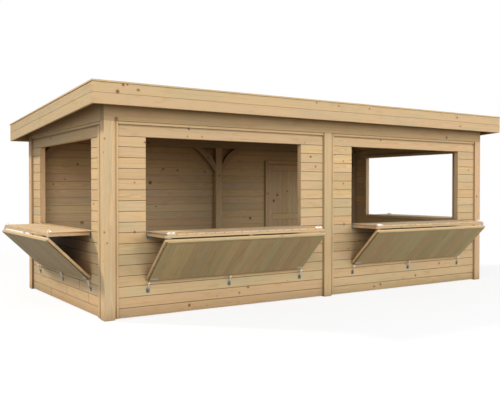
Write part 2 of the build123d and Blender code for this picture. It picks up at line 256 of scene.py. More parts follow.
# Light
FLOOR_BOUNCE = (0.23, 0.20, 0.155, 1)
FLOOR_SEEN = (0.90, 0.90, 0.90, 1)
FLOOR_LIFT = 0.8
FLOOR_FADE = (4.5, 11.0)
FLOOR_RADIUS = 60.0
FLOOR_SIDES = 96
DOME_COLOUR = (0.70, 0.87, 1.0, 1)
DOME_STRENGTH = 0.40
SUN_FROM = (-0.53, 0.57, 0.62)
SUN_COLOUR = (1.0, 0.88, 0.73)
SUN_STRENGTH = 3.05
SUN_ANGLE = 6.0
WARM_LAMP = (1.0, 0.955, 0.89)
COOL_LAMP = (0.72, 0.88, 1.0)
LAMP_AIM = (0.0, 0.0, 1.0)
LAMPS = (
    ("key_lamp", (-8.0, -9.0, 8.0), 8.0, 690.0, WARM_LAMP),
    ("fill_lamp", (8.0, -10.0, 7.0), 8.0, 580.0, WARM_LAMP),
    ("low_key_lamp", (-9.0, -10.0, 3.2), 5.0, 120.0, WARM_LAMP),
    ("low_front_lamp", (0.5, -13.0, 3.0), 5.0, 360.0, WARM_LAMP),
    ("low_fill_lamp", (9.0, -11.0, 3.0), 5.0, 250.0, WARM_LAMP),
    ("right_lamp", (12.0, 3.0, 4.0), 5.0, 150.0, WARM_LAMP),
    ("low_left_lamp", (-12.0, -3.0, 2.6), 5.0, 75.0, COOL_LAMP),
)

# Camera, from the photograph
CAMERA_PLACE = (-5.6306, -8.0433, 1.3973)
CAMERA_TURN = (90 - 0.9225, 0.0, -33.2647)
CAMERA_LENS = 48.226
SENSOR_WIDTH = 36.0

rng = random.Random(WOOD_SEED)


class Nodes:
    """A node tree, with one short call for each kind of node."""

    def __init__(self, tree):
        self.tree = tree

    def feed(self, socket, value):
        if isinstance(value, bpy.types.NodeSocket):
            self.tree.links.new(value, socket)
        else:
            socket.default_value = value

    def node(self, kind, inputs=None, **settings):
        made = self.tree.nodes.new(kind)
        for key, value in settings.items():
            setattr(made, key, value)
        for socket, value in (inputs or {}).items():
            self.feed(made.inputs[socket], value)
        return made

    def math(self, operation, *values):
        return self.node("ShaderNodeMath", dict(enumerate(values)), operation=operation).outputs[0]

    def attribute(self, name, output):
        return self.node("ShaderNodeAttribute", attribute_name=name).outputs[output]

    def combine(self, x, y, z):
        return self.node("ShaderNodeCombineXYZ", {0: x, 1: y, 2: z}).outputs[0]

    def square(self, value):
        return self.math("POWER", value, 2.0)

    def split(self, vector):
        return self.node("ShaderNodeSeparateXYZ", {0: vector}).outputs

    def scaled(self, vector, scale):
        return self.node("ShaderNodeVectorMath", {0: vector, 1: scale}, operation="MULTIPLY").outputs[0]

    def noise(self, vector, detail=2.0, roughness=0.5):
        inputs = {"Vector": vector, "Scale": 1.0, "Detail": detail, "Roughness": roughness}
        return self.node("ShaderNodeTexNoise", inputs).outputs[0]

    def span(self, value, low, high, to_low=0.0, to_high=1.0):
        inputs = {0: value, 1: low, 2: high, 3: to_low, 4: to_high}
        return self.node("ShaderNodeMapRange", inputs, interpolation_type="SMOOTHSTEP").outputs[0]

    def mix(self, factor, a, b, blend="MIX"):
        return self.node("ShaderNodeMix", {0: factor, 6: a, 7: b}, data_type="RGBA", blend_type=blend).outputs[2]

    def seen(self):
        """One for what the camera sees, also in metal, and zero for what only lights the rest."""
        rays = self.node("ShaderNodeLightPath").outputs
        return self.math("MAXIMUM", rays["Is Camera Ray"], self.math(
            "MAXIMUM", rays["Is Glossy Ray"], rays["Is Transmission Ray"]))


class Shader(Nodes):
    """A material's nodes around its surface."""

    def __init__(self, name):
        self.material = bpy.data.materials.new(name)
        self.material.use_nodes = True
        super().__init__(self.material.node_tree)
        self.surface = self.tree.nodes["Principled BSDF"]

    def openness(self, reach):
        """One in the open, and less near other surfaces."""
        return self.node("ShaderNodeAmbientOcclusion", {"Distance": reach}, samples=SHADE_SAMPLES).outputs["AO"]

    def bump(self, height, distance):
        made = self.node("ShaderNodeBump", {"Strength": 1.0, "Distance": distance, "Height": height})
        self.feed(self.surface.inputs["Normal"], made.outputs[0])


def pine():
    """Planed softwood cut from round logs: growth rings, fibres, knots and a faint green from treatment, with painted
    shade under eaves, indoors and in joints.
    """
    s = Shader("pine")
    along, across, deep = s.split(s.attribute("grain", "Vector"))

    def layer(scale_along, scale_across, detail, roughness):
        return s.noise(s.combine(
            s.math("MULTIPLY", along, scale_along), s.math("MULTIPLY", across, scale_across),
            s.math("MULTIPLY", deep, scale_across)), detail, roughness)

    fibre, streak, patch, figure = (layer(*scales) for scales in (FIBRE, STREAK, PATCH, FIGURE))
    shift = s.math("MULTIPLY", s.math("SUBTRACT", layer(*WANDER), 0.5), WANDER_REACH)
    radius = s.math("SQRT", s.math(
        "ADD", s.square(s.math("ADD", across, shift)), s.square(s.math("ADD", deep, shift))))
    ring = s.math("FRACT", s.math("DIVIDE", radius, RING_WIDTH))
    late = s.math("MULTIPLY", s.span(ring, *LATE_RISE), s.span(ring, *LATE_FALL))
    colour = s.mix(s.math("MULTIPLY", late, LATE_SHARE), EARLY_WOOD, LATE_WOOD)
    colour = s.mix(s.span(figure, *FIGURE_RAMP), colour, LATE_WOOD)
    colour = s.mix(s.span(patch, *GREEN_RAMP), colour, GREEN_WOOD)
    colour = s.mix(s.span(patch, *PINK_RAMP), colour, PINK_WOOD)
    colour = s.mix(s.span(streak, *STREAK_RAMP), colour, LATE_WOOD)
    # Knots: one to a cell of a coarse net on the timber's face in a share of the cells, and those with a set place
    step_along, step_across = KNOT_STEP
    side = s.attribute("side", "Fac")
    narrow = s.math("GREATER_THAN", side, 0.5)
    face = s.math("ADD", s.math("MULTIPLY", deep, narrow), s.math(
        "MULTIPLY", across, s.math("SUBTRACT", 1.0, narrow)))
    cell = s.node("ShaderNodeTexVoronoi", {
        "Vector": s.combine(s.math("DIVIDE", along, step_along), s.math("DIVIDE", face, step_across), 0.0),
        "Scale": 1.0, "Randomness": KNOT_RANDOMNESS}, voronoi_dimensions="2D")
    spot = s.split(cell.outputs["Position"])
    chance = s.node("ShaderNodeSeparateColor", {0: cell.outputs["Color"]}).outputs
    off_along = s.math("SUBTRACT", along, s.math("MULTIPLY", spot[0], step_along))
    off_across = s.math("SUBTRACT", face, s.math("MULTIPLY", spot[1], step_across))
    off = s.math("SQRT", s.math(
        "ADD", s.square(s.math("MULTIPLY", off_along, KNOT_STRETCH)), s.square(off_across)))
    ragged = s.math("MULTIPLY", s.math("SUBTRACT", fibre, 0.5), KNOT_RAGGED)
    off = s.math("ADD", off, ragged)
    size = s.math("MULTIPLY", s.math("LESS_THAN", chance[0], KNOT_SHARE), s.span(chance[1], 0.0, 1.0, *KNOT_RADII))
    size = s.math("MULTIPLY", size, s.math("LESS_THAN", side, 1.5))
    none = s.math("LESS_THAN", size, KNOT_RADII[0] / 2)
    edge = s.math("ADD", none, s.math("SUBTRACT", off, size))
    heart = s.math("ADD", none, s.math("SUBTRACT", off, s.math("MULTIPLY", size, KNOT_HEART)))
    place = s.node("ShaderNodeTexCoord").outputs["Object"]
    for number in range(KNOT_SLOTS):
        middle, size = s.attribute(f"knot_{number}", "Vector"), s.attribute(f"knot_{number}", "Alpha")
        off = s.node("ShaderNodeVectorMath", {0: place, 1: middle}, operation="DISTANCE").outputs["Value"]
        off = s.math("ADD", off, ragged)
        edge = s.math("MINIMUM", edge, s.math("SUBTRACT", off, size))
        heart = s.math("MINIMUM", heart, s.math("SUBTRACT", off, s.math("MULTIPLY", size, KNOT_HEART)))
    core = s.span(heart, *CORE_EDGE)
    colour = s.mix(s.math("MULTIPLY", s.span(edge, *HALO_EDGE), HALO_SHARE), colour, PINK_WOOD)
    colour = s.mix(s.math("MULTIPLY", s.span(edge, *RIM_EDGE), RIM_SHARE), colour, KNOT_RIM)
    colour = s.mix(s.math("MULTIPLY", core, s.span(chance[2], 0.0, 1.0, *CORE_SHARES)), colour, KNOT_CORE)
    colour = s.mix(1.0, colour, s.attribute("tint", "Color"), "MULTIPLY")
    colour = s.mix(s.math("MULTIPLY", s.attribute("arris", "Fac"), ARRIS_WEAR), colour, EARLY_WOOD)
    # Painted shade: timber indoors is darker and browner towards the roof
    wide, back, high = s.split(place)
    indoors = s.math("MULTIPLY", s.span(back, *INDOORS_FRONT), s.span(back, *INDOORS_BACK))
    indoors = s.math("MULTIPLY", indoors, s.span(s.math("ABSOLUTE", wide), *INDOORS_WIDE))
    indoor_shade = s.math("MULTIPLY", indoors, s.span(high, *INDOOR_SHADE_HEIGHT))
    colour = s.mix(indoor_shade, colour, s.mix(1.0, colour, INDOOR_SHADE_TINT, "MULTIPLY"))
    # Painted shade: timber is darker under eaves and leaves, and in joints and grooves, where other surfaces are near
    deep_shade = s.span(s.openness(DEEP_SHADE_REACH), *DEEP_SHADE_RAMP)
    colour = s.mix(deep_shade, colour, s.mix(1.0, colour, DEEP_SHADE_TINT, "MULTIPLY"))
    colour = s.mix(s.span(s.openness(JOINT_SHADE_REACH), *JOINT_SHADE_RAMP), colour, JOINT_SHADE)
    s.feed(s.surface.inputs["Base Color"], colour)
    s.feed(s.surface.inputs["Roughness"], s.span(fibre, *WOOD_ROUGHNESS))
    s.surface.inputs["Specular IOR Level"].default_value = WOOD_SHINE
    relief = s.math("ADD", s.math("MULTIPLY", fibre, FIBRE_RELIEF), s.math("MULTIPLY", late, LATE_RELIEF))
    s.bump(s.math("ADD", relief, s.math("MULTIPLY", core, KNOT_RELIEF)), WOOD_RELIEF)
    return s.material


def zinc():
    """Bright zinc-plated steel with a faint brushed grain and dull patches."""
    s = Shader("zinc")
    grain = s.attribute("grain", "Vector")
    cloud = s.noise(s.scaled(grain, CLOUD_SCALE))
    plated = s.mix(cloud, DULL_ZINC, PALE_ZINC)
    s.feed(s.surface.inputs["Base Color"], s.mix(1.0, plated, s.attribute("tint", "Color"), "MULTIPLY"))
    s.surface.inputs["Metallic"].default_value = 1.0
    s.feed(s.surface.inputs["Roughness"], s.span(cloud, *ZINC_ROUGHNESS))
    s.bump(s.noise(s.scaled(grain, BRUSHED_SCALE)), ZINC_RELIEF)
    return s.material


def roofing():
    """Matt dark roofing sheet with fine mineral grit."""
    s = Shader("roofing_sheet")
    place = s.node("ShaderNodeTexCoord").outputs["Object"]
    grit = s.noise(s.scaled(place, GRIT_SCALE), 3.0)
    stain = s.noise(s.scaled(place, STAIN_SCALE), 4.0)
    base = s.mix(s.span(grit, *GRIT_RAMP), DARK_GRIT, PALE_GRIT)
    s.feed(s.surface.inputs["Base Color"], s.mix(s.span(stain, *STAIN_RAMP), base, ROOF_STAIN))
    s.surface.inputs["Roughness"].default_value = ROOF_ROUGHNESS
    s.bump(grit, ROOF_RELIEF)
    return s.material


PINE = pine()
ZINC = zinc()
ROOFING = roofing()


def timber_tint(tone=1.0, pale=0.0):
    """A colour that one timber's wood is multiplied by."""
    light = tone * rng.uniform(*TIMBER_LIGHT)
    warm = rng.uniform(-TIMBER_WARMTH, TIMBER_WARMTH)
    pink = rng.uniform(-TIMBER_PINK, TIMBER_PINK)
    return (light * (1 + WARM_RED * warm + pink), light * (1 - pink), light * (1 - warm + pale), 1.0)


def plank_tint(base):
    """A lining board's tint, close to its neighbours'."""
    light = rng.uniform(*PLANK_LIGHT)
    return tuple(light * c * rng.uniform(*PLANK_DRIFT) for c in base) + (1.0,)


def placed_knots(points):
    """The knots with a set place on one solid, and empty slots after them."""
    low, high = points.min(0) - HAIR, points.max(0) + HAIR
    found = []
    for *place, radius in KNOTS:
        past = KNOT_OVERLAP * radius
        if all(low[i] - past < place[i] < high[i] + past for i in range(3)):
            found.append((*place, radius))
    return (found + [NO_KNOT] * KNOT_SLOTS)[:KNOT_SLOTS]


class Piece:
    """Collects timbers or irons into one mesh, each with its own grain, tint and worn arrises."""

    def __init__(self):
        self.points = []
        self.faces = []
        self.grain = []
        self.tint = []
        self.arris = []
        self.side = []
        self.knots = []

    def add(self, points, faces, axes, worn=(), tint=None, clear=False):
        """One solid, clear of stray knots if need be. Its grain runs along the first of its three axes."""
        base = len(self.points)
        points = np.array(points, float)
        axes = np.array(axes, float)
        turn = rng.uniform(0, 2 * math.pi)
        pith = rng.uniform(PITH_NEAR, PITH_FAR)
        offset = (rng.uniform(0, LOG_LENGTH), pith * math.cos(turn), pith * math.sin(turn))
        local = (points - points.mean(0)) @ axes.T + offset
        self.points += points.tolist()
        self.grain += local.tolist()
        tint = tint or timber_tint()
        self.tint += [tint(p) if callable(tint) else tint for p in points]
        self.knots += [placed_knots(points)] * len(points)
        self.faces += [[base + i for i in face] for face in faces]
        self.arris += [float(i in worn) for i in range(len(faces))]
        for face in faces:
            a, b, c = (points[face[i * len(face) // 3]] for i in range(3))
            facing = np.abs(axes @ np.cross(b - a, c - a))
            self.side.append(2.0 if clear else (2.0, 1.0, 0.0)[int(np.argmax(facing))])

    def prism(self, profile, start, end, along, across, out, origin, tint=None, clear=False):
        """A board: its profile, in across and out, run along a line from start to end."""
        origin, along, across, out = (Vector(v) for v in (origin, along, across, out))
        ring = [origin + across * a + out * o for a, o in profile]
        points = [p + along * start for p in ring] + [p + along * end for p in ring]
        count = len(ring)
        faces = [[i, (i + 1) % count, count + (i + 1) % count, count + i] for i in range(count)]
        faces += [list(range(count - 1, -1, -1)), list(range(count, 2 * count))]
        self.add(points, faces, (along, across, out), tint=tint, clear=clear)

    def solid(self, mesh, ease, tint=None):
        """A closed bmesh with its sharp edges eased, grained along its longest way."""
        sharp = [e for e in mesh.edges if len(e.link_faces) == 2 and e.calc_face_angle() > SHARP_ANGLE]
        eased = bmesh.ops.bevel(mesh, geom=sharp, offset=ease, segments=2, profile=0.5, affect="EDGES",
                                clamp_overlap=True)
        worn = set(eased["faces"])
        mesh.verts.index_update()
        points = np.array([v.co for v in mesh.verts], float)
        axes = np.linalg.svd(points - points.mean(0), full_matrices=False)[2]
        faces = [[v.index for v in f.verts] for f in mesh.faces]
        self.add(points, faces, axes, {i for i, f in enumerate(mesh.faces) if f in worn}, tint)

    def turned(self, rings, place, axis, tint=None):
        """A turned iron: rings of points about an axis, capped at both ends."""
        side = axis.orthogonal().normalized()
        up = axis.cross(side)
        points = [place + side * x + up * y + axis * z for ring in rings for x, y, z in ring]
        count = len(rings[0])
        faces = [list(range(count - 1, -1, -1)), [len(points) - count + i for i in range(count)]]
        for base in range(0, len(points) - count, count):
            faces += [[base + i, base + (i + 1) % count, base + count + (i + 1) % count, base + count + i]
                      for i in range(count)]
        self.add(points, faces, (side, up, axis), tint=tint)

    def block(self, low, high, ease=TIMBER_EASE, tint=None):
        """A square-cut timber with eased edges."""
        mesh = bmesh.new()
        bmesh.ops.create_cube(mesh, size=1.0)
        low, high = Vector(low), Vector(high)
        for v in mesh.verts:
            v.co = [low[i] + (v.co[i] + 0.5) * (high[i] - low[i]) for i in range(3)]
        self.solid(mesh, ease, tint)
        mesh.free()

    def build(self, name, material, body, *replaced, slot=None):
        """The finished piece, riding on its body."""
        mesh = bpy.data.meshes.new(name)
        mesh.from_pydata(self.points, [], self.faces)
        mesh.attributes.new("grain", "FLOAT_VECTOR", "POINT").data.foreach_set("vector", np.ravel(self.grain))
        mesh.attributes.new("tint", "FLOAT_COLOR", "POINT").data.foreach_set("color", np.ravel(self.tint))
        knots = np.array(self.knots, float)
        for number in range(KNOT_SLOTS):
            knot = mesh.attributes.new(f"knot_{number}", "FLOAT_COLOR", "POINT")
            knot.data.foreach_set("color", knots[:, number].ravel())
        mesh.attributes.new("arris", "FLOAT", "FACE").data.foreach_set("value", self.arris)
        mesh.attributes.new("side", "FLOAT", "FACE").data.foreach_set("value", self.side)
        mesh.materials.append(material)
        tidy = bmesh.new()
        tidy.from_mesh(mesh)
        bmesh.ops.recalc_face_normals(tidy, faces=tidy.faces)
        tidy.to_mesh(mesh)
        tidy.free()
        piece = bpy.data.objects.new(name, mesh)
        bpy.context.scene.collection.objects.link(piece)
        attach(piece, body)
        if replaced:
            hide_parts(*replaced)


def solids(node):
    """The separate solids of a node, as bmeshes without their triangulation."""
    whole = bmesh.new()
    whole.from_mesh(nodes[node].data)
    bmesh.ops.remove_doubles(whole, verts=whole.verts, dist=WELD)
    bmesh.ops.dissolve_limit(whole, angle_limit=FLAT_ANGLE, verts=whole.verts, edges=whole.edges)
    left = set(whole.verts)
    found = []
    while left:
        reached = {min(left, key=lambda v: v.index)}
        edge = list(reached)
        while edge:
            for link in edge.pop().link_edges:
                for v in link.verts:
                    if v not in reached:
                        reached.add(v)
                        edge.append(v)
        left -= reached
        part = bmesh.new()
        made = {v: part.verts.new(v.co) for v in sorted(reached, key=lambda v: v.index)}
        for face in whole.faces:
            if face.verts[0] in reached:
                part.faces.new([made[v] for v in face.verts])
        part.verts.index_update()
        part.normal_update()
        found.append(part)
    whole.free()
    return found


def sawn(part, place, way):
    """The two lengths of a timber sawn through at a place."""
    lengths = []
    for side in (-1, 1):
        length = part.copy()
        parted = bmesh.ops.bisect_plane(
            length, geom=length.verts[:] + length.edges[:] + length.faces[:], dist=SAW_WELD,
            plane_co=place + way * side * BUTT_GAP, plane_no=way * side, clear_inner=True)
        bmesh.ops.edgeloop_fill(length, edges=[e for e in parted["geom_cut"] if isinstance(e, bmesh.types.BMEdge)])
        length.normal_update()
        lengths.append(length)
    return lengths


def dress(node, ease=TIMBER_EASE, material=PINE, tone=1.0, pale=0.0):
    """A node's own solids with eased edges, each with its own wood."""
    piece = Piece()
    for part in solids(node):
        lengths = [part]
        for side, place in FASCIA_BUTTS.get(node, ()):
            if corners(part)[0][0] * side > 0:
                lengths = sawn(part, Vector((0, place, 0)), Vector((0, 1, 0)))
        for length in lengths:
            piece.solid(length, ease, timber_tint(tone, pale))
    piece.build(node + "_dressed", material, body_of[node], node)


def levels(points, axis):
    """The different places of points along an axis, lowest first."""
    return steps_of([p[axis] for p in points])


def steps_of(values):
    """Values that differ by more than a hair, lowest first."""
    found = []
    for value in sorted(values):
        if not found or value - found[-1] > HAIR:
            found.append(value)
    return found


def corners(mesh):
    """The places of a bmesh's points."""
    return [tuple(v.co) for v in mesh.verts]


def board_profile(low, high, thick, rebate):
    """A tongue-and-groove board in section: across from low to high, out from the inner face."""
    face = high - rebate
    return [
        (low, INNER_ARRIS), (low, thick - BOARD_ARRIS), (low + BOARD_ARRIS, thick),
        (face - BOARD_ARRIS, thick), (face, thick - BOARD_ARRIS), (face, thick - GROOVE_DEPTH),
        (high, thick - GROOVE_DEPTH), (high, INNER_ARRIS), (high - INNER_ARRIS, 0), (low + INNER_ARRIS, 0)]


def board_lines(low, high, snaps):
    """Heights of the joints between boards, with the last board reaching the top."""
    count = int((high - BOARD_PITCH / 3) / BOARD_PITCH)
    lines = [k * BOARD_PITCH for k in range(1, count + 1)]
    for snap in snaps:
        lines = [snap if abs(line - snap) < SNAP else line for line in lines]
    return [low] + [line for line in lines if line > low + SNAP] + [high]


def wall_axes(axis, inner, outer):
    """Along a wall, out of it, and a point on its inner face."""
    ways = Vector((1, 0, 0)), Vector((0, 1, 0))
    along, out = ways[axis], ways[1 - axis]
    return along, out * math.copysign(1, outer - inner), out * inner


def end_fillet(piece, start, end, low, high, axis, inner, outer):
    """The narrow upright fillet between the boards' ends and a post."""
    along, out, origin = wall_axes(axis, inner, outer)
    depth = abs(outer - inner) + FILLET_PROUD
    profile = [(start, 0), (start, depth), (end, depth), (end, 0)]
    piece.prism(profile, low, high, UP, along, out, origin)


def wall_boards(piece, spans, low, high, axis, inner, outer, hole=None, butts=None):
    """Horizontal boards over spans of a wall that runs along X (axis 0) or Y (axis 1)."""
    along, out, origin = wall_axes(axis, inner, outer)
    lines = board_lines(low, high, hole[2:] if hole else ())
    for row, (z0, z1) in enumerate(zip(lines, lines[1:])):
        rebate = TOP_REBATE if row == len(lines) - 2 else GROOVE_WIDTH
        profile = board_profile(z0, z1, abs(outer - inner), rebate)
        runs = []
        for start, end in spans:
            beside = hole and z0 < hole[3] - SNAP and z1 > hole[2] + SNAP
            runs += [(start, hole[0]), (hole[1], end)] if beside else [(start, end)]
        for start, end in runs:
            cuts = sorted(c for c in (butts or {}).get(row, ()) if start < c < end)
            stops = [start] + cuts + [end]
            for s0, s1 in zip(stops, stops[1:]):
                gap0 = BUTT_GAP if s0 in cuts else 0.0
                gap1 = BUTT_GAP if s1 in cuts else 0.0
                piece.prism(profile, s0 + gap0, s1 - gap1, along, UP, out, origin)
            tongue = board_profile(z0, z1, abs(outer - inner) - GROOVE_DEPTH, rebate)
            for cut in cuts:
                piece.prism(tongue, cut - BUTT_GAP, cut + BUTT_GAP, along, UP, out, origin)


def hatch_wall(node):
    """Boards of a wall with a hatch cut through."""
    part = solids(node)[0]
    points = corners(part)
    axis = 0 if len(levels(points, 0)) == 4 else 1
    ends, heights, faces = levels(points, axis), levels(points, 2), levels(points, 1 - axis)
    middle = (cad_box[0] + cad_box[1]) / 2
    inner, outer = sorted(faces, key=lambda f: abs(f - middle[1 - axis]))
    piece = Piece()
    hole = (ends[1], ends[2], heights[1], heights[2])
    span = (ends[0] + NEAR_FILLET, ends[3] - FAR_FILLET)
    wall_boards(piece, [span], heights[0], heights[3], axis, inner, outer, hole, BUTTS.get(node))
    for start, end in ((ends[0], span[0]), (span[1], ends[3])):
        end_fillet(piece, start, end, heights[0], heights[3], axis, inner, outer)
    piece.build(node + "_boards", PINE, "stall", node)


def plain_wall(node):
    """Boards of a back wall without a hatch."""
    piece = Piece()
    parts = [[levels(corners(part), i) for i in range(3)] for part in solids(node)]
    near, far = min(part[0][0] for part in parts), max(part[0][1] for part in parts)
    for (x0, x1), (y0, y1), (z0, z1) in parts:
        at_posts = node != "over_door_wall"
        start = x0 + NEAR_FILLET * (at_posts and x0 - near < HAIR)
        end = x1 - FAR_FILLET * (at_posts and far - x1 < HAIR)
        wall_boards(piece, [(start, end)], z0, z1, 0, y0, y1)
        for edge0, edge1 in ((x0, start), (end, x1)):
            if edge1 > edge0:
                end_fillet(piece, edge0, edge1, z0, z1, 0, y0, y1)
    piece.build(node + "_boards", PINE, "stall", node)


for name in HATCHES:
    hatch_wall(name + "_wall")
for name in ("back_left_wall", "door_side_walls", "over_door_wall"):
    plain_wall(name)

for name, (tone, pale) in TIMBERS.items():
    dress(name, tone=tone, pale=pale)
for name in FASCIAS:
    dress(name, FASCIA_EASE, tone=FASCIA_TONE)


def linings():
    """Each hatch's lining as a sill, a head and two jambs."""
    piece = Piece()
    for part in solids("window_frames"):
        points = corners(part)
        axis = 0 if len(levels(points, 0)) == 4 else 1
        ends, heights, faces = levels(points, axis), levels(points, 2), levels(points, 1 - axis)
        runs = [(ends[0], ends[3], heights[0], heights[1]), (ends[0], ends[3], heights[2], heights[3]),
                (ends[0], ends[1], heights[1], heights[2]), (ends[2], ends[3], heights[1], heights[2])]
        for s0, s1, z0, z1 in runs:
            low = (s0, faces[0], z0) if axis == 0 else (faces[0], s0, z0)
            high = (s1, faces[1], z1) if axis == 0 else (faces[1], s1, z1)
            piece.block(low, high)
    piece.build("window_linings", PINE, "stall", "window_frames")


def door_lining():
    """Two jambs and a head, with the stops that the door shuts against."""
    points = corners(solids("door_frame")[0])
    x, y, z = (levels(points, i) for i in range(3))
    piece = Piece()
    for outer, edge, stop in ((0, 1, 2), (5, 4, 3)):
        piece.block((min(x[outer], x[edge]), y[0], z[0]), (max(x[outer], x[edge]), y[2], z[3]))
        piece.block((min(x[edge], x[stop]), y[0], z[0]), (max(x[edge], x[stop]), y[1], z[2]))
    piece.block((x[1], y[0], z[2]), (x[4], y[2], z[3]))
    piece.block((x[2], y[0], z[1]), (x[3], y[1], z[2]))
    piece.build("door_lining", PINE, "stall", "door_frame")


linings()
door_lining()


def roof_edge():
    """Four mitred strips along the roof's edge."""
    part = solids("roof_trim")[0]
    points = sorted(corners(part), key=lambda p: math.atan2(p[1], p[0]))
    piece = Piece()
    reach = max(abs(p[0]) for p in points)
    outer = [p for p in points if abs(abs(p[0]) - reach) < SNAP]
    inner = [p for p in points if abs(abs(p[0]) - reach) > SNAP]
    ring = []
    for quarter in range(4):
        pair_out = sorted(outer[2 * quarter:2 * quarter + 2], key=lambda p: p[2])
        pair_in = sorted(inner[2 * quarter:2 * quarter + 2], key=lambda p: p[2])
        ring.append(pair_out + pair_in)
    for quarter in range(4):
        a, b = ring[quarter], ring[(quarter + 1) % 4]
        mesh = bmesh.new()
        v = [mesh.verts.new(p) for p in a + b]
        for face in ((0, 1, 3, 2), (4, 6, 7, 5), (0, 4, 5, 1), (2, 3, 7, 6), (0, 2, 6, 4), (1, 5, 7, 3)):
            mesh.faces.new([v[i] for i in face])
        bmesh.ops.recalc_face_normals(mesh, faces=mesh.faces)
        piece.solid(mesh, TRIM_EASE)
        mesh.free()
    piece.build("roof_edge_strips", PINE, "stall", "roof_trim")


def deck_boards():
    """Roof boards that lie across the rafters, under the covering."""
    points = corners(solids("roof_deck")[0])
    x = levels(points, 0)
    front = sorted((p for p in points if p[1] < 0), key=lambda p: p[2])
    back = sorted((p for p in points if p[1] > 0), key=lambda p: p[2])
    origin = Vector((0, front[0][1], front[0][2]))
    run = Vector((0, back[0][1], back[0][2])) - origin
    across = run.normalized()
    out = Vector((1, 0, 0)).cross(across)
    thick = (Vector(front[-1]) - Vector(front[0])).dot(out)
    count = round(run.length / BOARD_PITCH)
    pitch = run.length / count
    piece = Piece()
    for row in range(count):
        low, high = row * pitch, (row + 1) * pitch
        profile = [(low, BOARD_ARRIS), (low, thick), (high, thick), (high, BOARD_ARRIS),
                   (high - BOARD_ARRIS, 0), (low + BOARD_ARRIS, 0)]
        piece.prism(profile, x[0], x[1], (1, 0, 0), across, out, origin, timber_tint(DECK_TONE))
    piece.build("deck_boards", PINE, "stall", "roof_deck")


def roof_laps():
    """The laps between the covering's sheets, running down the slope."""
    points = corners(solids("roof_covering")[0])
    x0, x1 = levels(points, 0)
    front = max((p for p in points if p[1] < 0), key=lambda p: p[2])
    back = max((p for p in points if p[1] > 0), key=lambda p: p[2])
    origin = Vector((0, front[1], front[2]))
    run = Vector((0, back[1], back[2])) - origin
    along = run.normalized()
    piece = Piece()
    count = round((x1 - x0) / LAP_STEP)
    for i in range(1, count):
        x = x0 + (x1 - x0) * i / count
        profile = [(x, 0), (x, LAP_HEIGHT), (x + LAP_WIDTH, 0)]
        piece.prism(profile, 0.0, run.length, along, (1, 0, 0), Vector((1, 0, 0)).cross(along), origin)
    piece.build("roof_laps", ROOFING, "stall", slot="roofing")


roof_edge()
deck_boards()
dress("roof_covering", COVERING_EASE, ROOFING)
roof_laps()


def leaf_frame(node):
    """A leaf's middle, its axes (length, fall, lining side) and its steps along each."""
    part = solids(node)[0]
    points = np.array(corners(part), float)
    part.free()
    middle = points.mean(0)
    axes = np.linalg.svd(points - middle, full_matrices=False)[2]
    steps = [steps_of((points - middle) @ axis) for axis in axes]
    if steps[2][1] - steps[2][0] < steps[2][2] - steps[2][1]:
        axes[2] *= -1
        steps[2] = [-d for d in reversed(steps[2])]
    return Vector(middle), [Vector(a) for a in axes], steps


def leaf_boards(node):
    """A hatch leaf: grooved boards along its outer side, and a lining of short boards down its fall."""
    middle, (length, fall, out), (long, wide, thick) = leaf_frame(node)
    piece = Piece()
    count = round((wide[-1] - wide[0]) / BOARD_PITCH)
    pitch = (wide[-1] - wide[0]) / count
    depth = thick[1] - thick[0]
    for row in range(count):
        low, high = wide[0] + row * pitch, wide[0] + (row + 1) * pitch
        rebate = GROOVE_WIDTH if row < count - 1 else 0.0
        profile = board_profile(low, high, depth, rebate)
        piece.prism(profile, long[0], long[-1], length, fall, -out, middle + out * thick[1])
    count = round((long[2] - long[1]) / BOARD_PITCH)
    pitch = (long[2] - long[1]) / count
    depth = thick[2] - thick[1]
    is_brace = node.endswith("brace_leaf")
    # Painted shade on the brace linings
    brace_shade_tint = [c * BRACE_SHADE_TONES.get(node, 1.0) for c in BRACE_SHADE_TINT]
    strip = EDGE_STRIP if is_brace else 0.0
    start, end = (wide[0] + strip, wide[-1]) if fall.z < 0 else (wide[0], wide[-1] - strip)
    if strip:
        edge0, edge1 = (wide[0], start - EDGE_GAP) if fall.z < 0 else (end + EDGE_GAP, wide[-1])
        profile = [(edge0, 0), (edge0, depth), (edge1 - BOARD_ARRIS, depth), (edge1, depth - BOARD_ARRIS), (edge1, 0)]
        piece.prism(profile, long[1], long[2], length, fall, out, middle + out * thick[1], plank_tint(brace_shade_tint),
                    clear=True)
    for row in range(count):
        low = long[1] + row * pitch + (PLANK_GAP / 2 if row else 0.0)
        high = long[1] + (row + 1) * pitch - (PLANK_GAP / 2 if row < count - 1 else 0.0)
        reach, half = PLANK_HOLLOW
        hollow = ((0, -half), (reach, -half), (reach, half), (0, half))
        profile = [(low, 0)] + [(low + a, depth / 2 + d) for a, d in hollow]
        profile += [(low, depth - PLANK_ARRIS), (low + PLANK_ARRIS, depth),
                    (high - PLANK_ARRIS, depth), (high, depth - PLANK_ARRIS)]
        profile += [(high - a, depth / 2 + d) for a, d in reversed(hollow)] + [(high, 0)]
        # Counter linings take painted light, brace linings painted shade
        tint = plank_tint(brace_shade_tint if is_brace else COUNTER_TOP_LIGHT)
        piece.prism(profile, start, end, fall, length, out, middle + out * thick[1], tint, clear=True)
    piece.build(node + "_boards", PINE, body_of[node], node)


for name in HATCHES:
    leaf_boards(name + "_counter")
    leaf_boards(name + "_brace_leaf")


